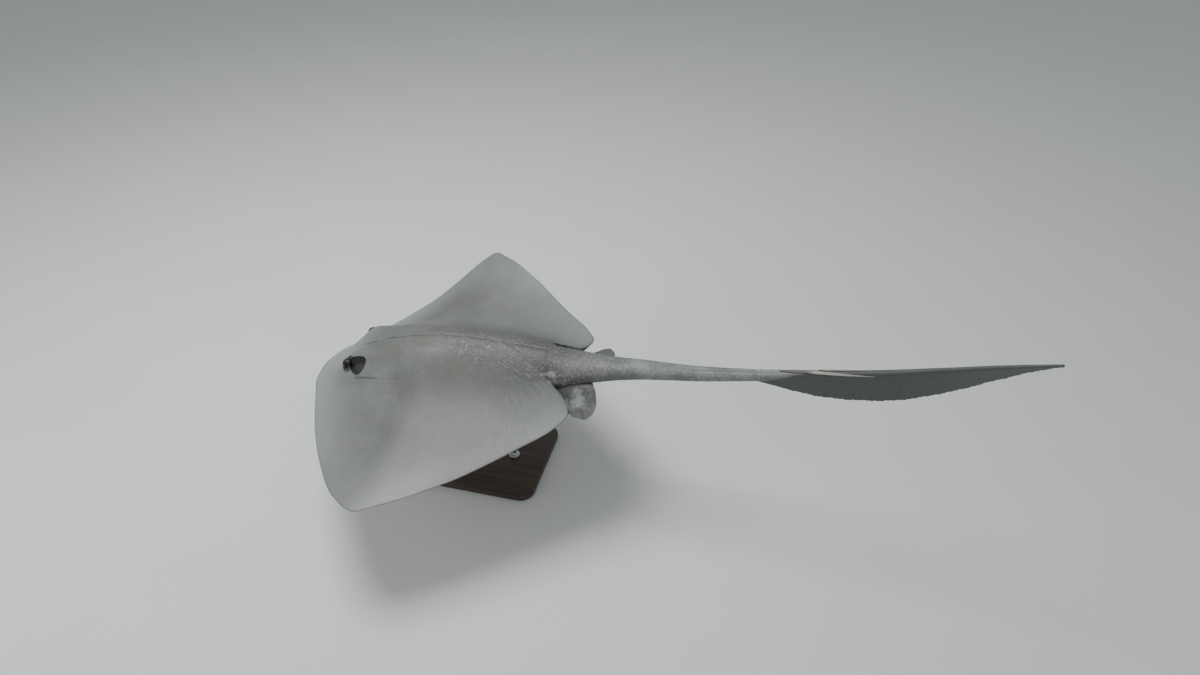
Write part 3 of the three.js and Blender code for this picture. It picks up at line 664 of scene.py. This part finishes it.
def grey_tones(f, s):
    """Clouded and mottled grey, pale at the snout and toward the margins."""
    colour = f.tint(GREY, GREY_LIGHT, s.clouds.step(0.38, 0.70) * 0.26)
    colour = f.tint(colour, GREY_BROWN, s.patches.step(0.46, 0.66) * 0.65)
    colour = f.tint(colour, GREY_DARK, s.blotches.step(0.48, 0.72) * 0.22)
    colour = f.tint(colour, GREY_DARK, s.mottle.step(0.50, 0.70) * 0.24)
    colour = f.tint(colour, GREY_LIGHT, s.mottle.step(0.48, 0.30) * 0.16)
    colour = f.tint(colour, GREY_LIGHT, s.x.step(0.36, 0.02) * 0.85)
    return f.tint(colour, GREY_LIGHT, s.out.step(0.55, 0.97) * s.disc * 0.45)


def wing_tones(f, s, colour):
    """Left wing with painted shade over its middle and painted light on its shoulder, right wing paler with
    painted light, both streaked along their rays, and the dark band.
    """
    right = (s.side * 0.5 + 0.5) * s.y.step(0.03, 0.20) * s.disc
    # painted shade: the middle of the left wing darkened
    painted_core_shade = (1 - right) * s.x.step(0.32, 0.66) * s.out.between(0.08, 0.44, 0.74, 1.0) * s.disc
    colour = f.tint(colour, CORE_PAINTED_SHADE, painted_core_shade * 0.62)
    # painted light: the left wing's shoulder lightened against its own shading
    shoulder = (1 - right) * s.x.between(0.12, 0.22, 0.32, 0.44) * s.out.between(0.20, 0.40, 0.60, 0.90)
    colour = f.tint(colour, GREY_LIGHT, shoulder * s.disc * 0.16)
    # painted light: the right wing made paler
    colour = f.tint(colour, GREY_LIGHT, right * s.x.step(0.34, 0.60) * s.out.step(0.95, 0.60) * 0.28)
    colour = f.tint(colour, GREY_LIGHT, s.rays * s.streaks.step(0.48, 0.68) * 0.10)
    colour = f.tint(colour, GREY_LIGHT, s.rear * s.out.step(0.35, 0.85) * 0.22)
    streaky = s.streaks.step(0.44, 0.66) * s.patches.step(0.36, 0.56)
    colour = f.tint(colour, GREY_LIGHT, s.rear * streaky * 0.36)
    return f.tint(colour, BAND_DARK, s.denticled * s.disc * (0.30 + s.blotches * 0.8))


def rough_tones(f, s, colour):
    """Pale tail, then pale flecks and dark pores where the skin is rough, scratches, and painted shade in the
    furrows, the hollow under the eye and the skin fold.
    """
    pale_tail = s.x.step(0.90, 1.20) * s.tail * (s.patches.step(0.36, 0.60) * 0.50 + 0.30)
    colour = f.tint(colour, GREY_LIGHT, pale_tail)
    flecked = s.flecks.step(0.53, 0.62) * s.patches.step(0.30, 0.62)
    colour = f.tint(colour, FLECK_PALE, s.rough * flecked * 0.52)
    colour = f.tint(colour, PORE_DARK, s.rough * s.flecks.step(0.47, 0.38) * 0.62)
    colour = f.tint(colour, FLECK_PALE, s.joint * s.blotches.step(0.44, 0.60) * 0.60)
    colour = f.tint(colour, FLECK_PALE, s.scratches * 0.45)
    # painted shade in the furrow down the back, the hollow under the eye and the skin fold behind it
    return f.tint(colour, PORE_DARK, s.furrow * 0.85)


def pelvic_tones(f, s, colour):
    """Pelvic fins: dark and rough, with a worn pale patch, a dark rim, and painted shade at the root under
    the wing's rear edge.
    """
    worn = spot(s.x, s.y, PELVIC_WORN) + (s.blotches - 0.5) * 3.4 + (s.mottle - 0.5) * 2.0
    # dark rim, painted shade at the root (out below 0.64) under the wing's rear edge, and the whole fin
    # darkened a little
    rim = s.out.step(0.66, 0.98) + s.blotches.step(0.60, 0.42) * 0.6 + s.out.step(0.64, 0.40) * 0.6 + 0.25
    colour = f.tint(colour, PORE_DARK, s.pelvic * rim.least(1.0) * 0.75)
    return f.tint(colour, GREY_LIGHT, s.pelvic * worn.step(-0.1, 1.1) * 0.75)


def tail_tones(f, s, colour):
    """Tail: dark lengthwise lines, painted shade in a groove on its left top and along its underside, and all
    dark past the stings, as its fold is.
    """
    lines = f.noise(f.vector(s.x * 7.0, s.girth * 26.0 + s.side * 9.0), 1.0, 4.0, 0.6)
    # painted shade: a dark groove line on the left top, where the skin folds in front of the stings
    painted_crease_shade = (s.girth * s.side + 0.21 + (lines - 0.5) * 0.12).size().step(0.060, 0.020)
    painted_crease_shade = painted_crease_shade * s.x.between(1.24, 1.34, 1.57, 1.61)
    colour = f.tint(colour, PORE_DARK, s.tail * (lines.step(0.56, 0.68) * 0.50).most(painted_crease_shade * 0.85))
    # painted shade along the tail's underside
    colour = f.tint(colour, GREY_DARK, s.tail * s.girth.step(1.05, 1.5) * 0.65)
    dark = f.tint(FOLD_BLACK, FOLD_PALE, s.x.step(1.85, 2.32) * 0.75)
    colour = f.tint(colour, f.tint(dark, PORE_DARK, 0.40), s.dusky * 0.92)
    colour = f.tint(colour, dark, s.hanging)
    return f.tint(colour, PORE_DARK, s.hanging * s.fold_rays.step(0.45, 0.75) * 0.30)


def belly_tones(f, s, colour):
    """Puts the white belly under the back's colour, with a grey border and dark red slits."""
    white = f.tint(BELLY_WHITE, BELLY_PINK, s.clouds.step(0.45, 0.75) * 0.35)
    dusk = s.edge + (s.blotches - 0.5) * 0.05
    white = f.tint(white, GREY_DARK, dusk.step(0.050, 0.012) * 0.75)
    white = f.tint(white, SLIT_RED, s.slit.step(0.25, 0.9) * 0.85)
    return f.tint(white, colour, s.back.step(0.3, 0.7))


def skin_relief(f, s):
    """Wrinkles, grain, denticles, fin rays and scratches."""
    denticles = f.node("ShaderNodeTexVoronoi", {"feature": "F1"}, {"Vector": s.place, "Scale": 330.0},
                       output="Distance")
    wrinkles = f.noise(s.place, 60.0, 6.0, 0.7)
    rings = f.noise(f.vector(s.x * 190.0, s.y * 30.0), 1.0, 3.0, 0.6)
    height = (wrinkles * 0.35 + s.grain * 0.22 + rings * s.tail * 0.5 + s.blotches * s.joint * 1.6
              + (1 - denticles) * s.denticled + s.flecks * s.rough * 1.3
              + s.streaks * (s.rays * 0.06 + s.rear * 0.20) + s.fold_rays * s.hanging * 0.3
              + s.scratches * 0.5)
    return f.bump(height, 0.0013, 0.6)


def skin_finish():
    f = Finish("ray_skin")
    s = skin_signals(f)
    colour = wing_tones(f, s, grey_tones(f, s))
    colour = rough_tones(f, s, colour)
    colour = pelvic_tones(f, s, colour)
    colour = tail_tones(f, s, colour)
    colour = f.tint(colour, GREY_DARK, s.edge.step(0.008, 0.0) * 0.50)
    colour = belly_tones(f, s, colour)
    # painted shade: the eye socket, the spiracle and the skin round the eye darkened into one patch
    colour = f.tint(colour, PIT_SHADE, spot(s.x, s.y, EYE_SOCKET_SHADE).step(0.0, 0.5) * s.disc * 0.80)
    colour = f.tint(colour, PIT_SHADE, s.pit.step(0.15, 0.8))
    roughness = 0.46 + s.rough * 0.16 + (s.grain - 0.5) * 0.18 + s.pit * 0.22
    return f.shade(colour=colour, roughness=roughness, normal=skin_relief(f, s), coat=(1 - s.pit) * 0.10,
                   coat_roughness=0.35)


def eye_finish():
    f = Finish("ray_eye")
    gaze, dip = f.mark("gaze"), f.mark("dip")
    grain = f.noise(f.node("ShaderNodeTexCoord", output="Object"), 420.0, 4.0, 0.6)
    iris = f.tint((0.012, 0.012, 0.010), (0.030, 0.028, 0.020), grain.step(0.35, 0.7))
    iris = f.tint(iris, (0.009, 0.009, 0.008), gaze.step(0.55, 0.95))
    pupil = ((gaze / 0.46) ** 2 + (dip / 0.26) ** 2).step(1.05, 0.90)
    colour = f.tint(iris, (0.003, 0.003, 0.003), pupil)
    return f.shade(colour=colour, roughness=0.40, coat=0.06, coat_roughness=0.20, specular=0.18)


def sting_finish(name, pale, dark, sheath, edge_dark):
    f = Finish(name)
    along_it, across = f.mark("along"), f.mark("across")
    place = f.node("ShaderNodeTexCoord", output="Object")
    grooves = f.noise(f.vector(along_it * 6.0, across * 22.0), 1.0, 3.0, 0.6)
    stain = f.noise(place, 70.0, 4.0, 0.6)
    colour = f.tint(pale, dark, stain.step(0.5, 0.75) * 0.3)
    colour = f.tint(colour, dark, across.size().step(0.16, 0.02) * 0.5)
    colour = f.tint(colour, dark, along_it.step(sheath + 0.05, sheath - 0.05) * 0.9)
    colour = f.tint(colour, dark, across.size().step(0.80, 0.97) * edge_dark)
    normal = f.bump(grooves + stain * 0.4, 0.0006, 0.7)
    return f.shade(colour=colour, roughness=0.42 + stain * 0.12, normal=normal)


def wood_finish():
    f = Finish("dark_wood")
    place = f.node("ShaderNodeTexCoord", output="Object")
    stretched = f.node("ShaderNodeMapping", {}, {"Vector": place, "Scale": (1.2, 22.0, 22.0)})
    grain = f.noise(stretched, 3.0, 6.0, 0.6, 0.6)
    pores = f.noise(stretched, 26.0, 3.0, 0.6)
    colour = f.tint((0.020, 0.013, 0.009), (0.062, 0.038, 0.024), grain.step(0.35, 0.7))
    colour = f.tint(colour, (0.010, 0.007, 0.005), pores.step(0.58, 0.75) * 0.6)
    normal = f.bump(pores + grain * 0.5, 0.0004, 0.4)
    return f.shade(colour=colour, roughness=0.36 + pores * 0.14, normal=normal, coat=0.25, coat_roughness=0.2)


def steel_finish():
    f = Finish("brushed_steel")
    place = f.node("ShaderNodeTexCoord", output="Object")
    stretched = f.node("ShaderNodeMapping", {}, {"Vector": place, "Scale": (1.0, 1.0, 40.0)})
    brushing = f.noise(stretched, 60.0, 4.0, 0.6)
    colour = f.tint((0.48, 0.48, 0.49), (0.60, 0.60, 0.61), brushing)
    return f.shade(colour=colour, metallic=1.0, roughness=0.24 + brushing * 0.16,
                   normal=f.bump(brushing, 0.0002, 0.3))


def felt_finish():
    f = Finish("dark_felt")
    fuzz = f.noise(f.node("ShaderNodeTexCoord", output="Object"), 900.0, 3.0, 0.7)
    return f.shade(colour=f.tint((0.012, 0.013, 0.014), (0.030, 0.031, 0.033), fuzz), roughness=0.95,
                   normal=f.bump(fuzz, 0.0004, 0.6))


def floor_finish():
    f = Finish("pale_floor")
    place = f.node("ShaderNodeTexCoord", output="Object")
    speckle = f.noise(place, 3.0, 3.0, 0.5)
    return f.shade(colour=f.tint((0.60, 0.61, 0.61), (0.64, 0.65, 0.65), speckle), roughness=0.75)


# ------------------------------------------------------------------ pieces
FLOOR_SIZE = 30
FLOOR_PLACE = (0.5, 0, -0.0005)  # half a millimetre below the felt
FLESH_NODES = ["head", "trunk", "wing_left", "wing_right", "tail_root", "tail_middle", "tail_end",
               "tail_fold", "pelvic_fin_left", "pelvic_fin_right"]


def make_skin():
    points, quads, cap, marks = flesh_surface()
    marks["pelvic"] = np.zeros(len(points))
    parts = [(points, quads, marks), pelvic_surface(-1), pelvic_surface(1)]
    offset, all_points, all_quads = 0, [], []
    gathered = {mark: [] for mark in marks}
    for part_points, part_quads, part_marks in parts:
        all_points.append(part_points)
        all_quads.append(part_quads + offset)
        for mark in gathered:
            gathered[mark].append(part_marks.get(mark, np.zeros(len(part_points))))
        offset += len(part_points)
    gathered = {mark: np.concatenate(values) for mark, values in gathered.items()}
    skin = mesh_object("skin", in_metres(np.vstack(all_points)), [np.vstack(all_quads), cap],
                       skin_finish(), gathered)
    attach(skin, "root")
    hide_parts(*FLESH_NODES)


def make_eye(name, side, finish):
    """An eyeball with a slight bulge over the pupil, looking outward and a little up."""
    rings, around = 48, 64
    turn = np.linspace(0, math.pi, rings)[:, None]
    spin = np.linspace(0, 2 * math.pi, around, endpoint=False)[None]
    gaze = np.sin(turn) * np.cos(spin)
    dip = np.sin(turn) * np.sin(spin)
    ahead = np.cos(turn) + 0 * spin
    bulge = 1 + 0.05 * hill(turn, 0, 0.6)
    look = np.array([-0.18, side * 0.80, 0.48])
    look /= np.linalg.norm(look)
    level = np.cross((0, 0, 1), look)
    level /= np.linalg.norm(level)
    rise = np.cross(look, level)
    ball = (ahead[..., None] * look + gaze[..., None] * level + dip[..., None] * rise) * bulge[..., None]
    ball = ball * EYE_RADIUS * np.array([1, EYE_FLATNESS, EYE_FLATNESS])
    centre = np.array([EYE[0], side * EYE[1], EYE[2] + wing_lift(EYE[0], side * EYE[1])])
    quads = ring_quads(np.arange(rings * around).reshape(rings, around))
    reach = np.where(ahead > 0, 1, 3)
    eye = mesh_object(name, in_metres(centre + ball.reshape(-1, 3)), [quads], finish,
                      {"gaze": gaze * reach, "dip": dip * reach})
    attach(eye, "root")
    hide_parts(name)


# Where each sting runs over the tail: x of base and tip, angle from the top toward the left
# flank at both, and how far its middle stands off the tail at both, in metres.
STINGS = {
    "sting_long": {"x": (1.585, 1.850), "width": 0.0096, "angle": (0.05, 1.60), "off": (0.0016, 0.0032),
                   "teeth": 54},
    "sting_short": {"x": (1.695, 1.822), "width": 0.0080, "angle": (-0.25, -0.15), "off": (0.0009, 0.0012),
                    "teeth": 28},
}
STING_THICKNESS = 0.0032 / DISC


def make_sting(name, finish):
    """A flat spine, grooved down its middle, with a row of backward teeth on each edge."""
    s = STINGS[name]
    k = np.linspace(0, 1, s["teeth"] * 8 + 1)[:, None]
    around = np.linspace(0, 2 * math.pi, 20, endpoint=False)[None]
    x, off = mix(*s["x"], k), mix(*s["off"], k) / DISC
    turn = mix(*s["angle"], k ** 1.2)
    centre_y = -np.sin(turn) * (along(TAIL_HALF_WIDTH, x) + off)
    centre_z = along(TAIL_CENTRE, x) + np.cos(turn) * (along(TAIL_HALF_HEIGHT, x) + EDGE / 2 + off)
    tooth = 1 - 0.20 * ((k * s["teeth"]) % 1) * smooth(0.18, 0.30, k)
    half = s["width"] / 2 * np.minimum(1, 0.55 + k * 3) * (1.02 - k ** 3.5) * tooth
    thick = STING_THICKNESS / 2 * (1.05 - 0.75 * k)
    u, v = half * np.cos(around), thick * np.sin(around)
    v = v - 0.30 * thick * hill(np.cos(around), 0, 0.22) * (np.sin(around) > 0)
    y = centre_y + u * np.cos(turn) - v * np.sin(turn)
    z = centre_z + u * np.sin(turn) + v * np.cos(turn)
    points = np.stack([x + 0 * y, y, z], -1)
    rings, count = y.shape
    index = np.arange(rings * count).reshape(rings, count)
    ends = [index[:1], index[-1:, ::-1]]
    marks = {"along": k + 0 * y, "across": np.cos(around) + 0 * y}
    sting = mesh_object(name, in_metres(points.reshape(-1, 3)), [ring_quads(index), *ends], finish, marks)
    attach(sting, "root")
    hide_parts(name)


def closed_rings(rings):
    """Points and quads of rings of equally many points, each an array of x, y, z."""
    count = len(rings[0])
    index = np.arange(len(rings) * count).reshape(len(rings), count)
    turned = np.roll(index, -1, axis=1)
    quads = np.stack([index[:-1], turned[:-1], turned[1:], index[1:]], -1).reshape(-1, 4)
    return np.vstack(rings), [quads, index[:1, ::-1], index[-1:]]


def make_base():
    """A plate with round corners and a soft upper edge, on a thin felt pad set in from its rim."""
    length, width, high = BASE_SIZE
    quarter = np.linspace(0, math.pi / 2, 17)
    turn = np.concatenate([quarter + i * math.pi / 2 for i in range(4)])
    corner = np.repeat([[1, 1], [-1, 1], [-1, -1], [1, -1]], len(quarter), axis=0)

    def ring(inset, z):
        round_off = BASE_CORNER - inset
        middle = corner * (np.array([length, width]) / 2 - BASE_CORNER)
        flat = middle + round_off * np.stack([np.cos(turn), np.sin(turn)], 1)
        return np.column_stack([flat[:, 0] + BASE_X, flat[:, 1], np.full(len(turn), z)])

    soft = BASE_SOFT_EDGE
    edge = [(soft * (1 - math.sin(a)), high - soft * (1 - math.cos(a)))
            for a in np.linspace(math.pi / 2, 0, 9)]
    rings = [ring(0.0012, FELT_THICKNESS), ring(0, 0.0030)] + [ring(*place) for place in edge]
    rings += [ring(soft + 0.0015, high), ring(soft + 0.02, high)]
    points, faces = closed_rings(rings)
    plate = mesh_object("stand_base_plate", points, faces, wood_finish())
    points, faces = closed_rings([ring(0.006, 0.0), ring(0.006, FELT_THICKNESS)])
    felt = mesh_object("stand_base_felt", points, faces, felt_finish())
    for piece in (plate, felt):
        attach(piece, "root")
        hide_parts("stand_base")


def make_rod(name, x, finish):
    """A turned rod in a collar with soft edges; its top end sits in the belly."""
    foot = BASE_SIZE[2] + ROD_GAP
    collar, high, rod = 0.017, 0.009, 0.007
    profile = [(collar - 0.0004, 0), (collar, 0.0004), (collar, high - 0.0022)]
    profile += [(collar - 0.0015 * (1 - math.cos(a)), high - 0.0022 + 0.0015 * math.sin(a))
                for a in np.linspace(0.2, math.pi / 2, 6)]
    profile += [(rod + 0.0042, high - 0.0004), (rod + 0.0036, high), (rod + 0.0010, high)]
    profile += [(rod, high + 0.0012)]
    profile += [(rod, z) for z in np.linspace(high + 0.004, ROD_TOP - foot, 12)]
    turn = np.linspace(0, 2 * math.pi, 64, endpoint=False)
    rings = [np.column_stack([x + r * np.cos(turn), r * np.sin(turn), np.full(len(turn), z + foot)])
             for r, z in profile]
    points, faces = closed_rings(rings)
    piece = mesh_object(name + "_turned", points, faces, finish)
    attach(piece, "root")
    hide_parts(name)


def make_floor():
    bpy.ops.mesh.primitive_plane_add(size=FLOOR_SIZE, location=FLOOR_PLACE)
    floor = bpy.context.object
    floor.name = "floor"
    floor.data.materials.append(floor_finish())


# ------------------------------------------------------------------ light and camera
# Each lamp: its place, what it shines at, its width in metres and its power in watts.
LAMPS = {
    "key": ((-0.9, 0.5, 3.8), (0.3, 0, 0.3), 2.0, 140),
    "fill_front": ((-2.2, -2.0, 1.7), (0.0, -0.2, 0.3), 2.4, 26),
    "fill_rear": ((2.6, -2.6, 2.4), (0.2, 0, 0.3), 2.6, 14),
}
ROOM_COLOUR = (0.80, 0.84, 0.86)
ROOM_STRENGTH = 0.50
CAMERA_PLACE = (0.881, -1.706, 1.806)
CAMERA_DIP = 36.0               # degrees below level
CAMERA_TURN = 14.08             # degrees to the left of straight across the body
LENS = 24                       # millimetres, on a sensor SENSOR wide
SENSOR = 36


def area_light(name, place, target, size, power):
    lamp = bpy.data.lights.new(name, "AREA")
    lamp.shape, lamp.size, lamp.energy = "DISK", size, power
    holder = bpy.data.objects.new(name, lamp)
    bpy.context.scene.collection.objects.link(holder)
    holder.location = place
    aim = np.array(target) - np.array(place)
    holder.rotation_euler = (math.atan2(math.hypot(aim[0], aim[1]), -aim[2]), 0, math.atan2(-aim[0], aim[1]))


def make_light():
    world = bpy.data.worlds.new("soft_room")
    bpy.context.scene.world = world
    world.use_nodes = True
    room = world.node_tree.nodes["Background"].inputs
    room["Color"].default_value = (*ROOM_COLOUR, 1)
    room["Strength"].default_value = ROOM_STRENGTH
    for name, lamp in LAMPS.items():
        area_light(name, *lamp)


def make_camera():
    data = bpy.data.cameras.new("view")
    data.lens, data.sensor_width = LENS, SENSOR
    camera = bpy.data.objects.new("view", data)
    bpy.context.scene.collection.objects.link(camera)
    camera.location = CAMERA_PLACE
    camera.rotation_euler = (math.radians(90 - CAMERA_DIP), 0, math.radians(CAMERA_TURN))
    bpy.context.scene.camera = camera


eye_look = eye_finish()
steel_look = steel_finish()
make_skin()
make_eye("eye_left", -1, eye_look)
make_eye("eye_right", 1, eye_look)
make_sting("sting_long", sting_finish("pale_dentine", DENTINE_PALE, (0.062, 0.058, 0.052), 0.34, 0.2))
make_sting("sting_short", sting_finish("dark_dentine", DENTINE_DULL, (0.050, 0.048, 0.044), 0.08, 0.9))
make_base()
make_rod("stand_rod_front", ROD_X[0], steel_look)
make_rod("stand_rod_rear", ROD_X[1], steel_look)
make_floor()
make_light()
make_camera()
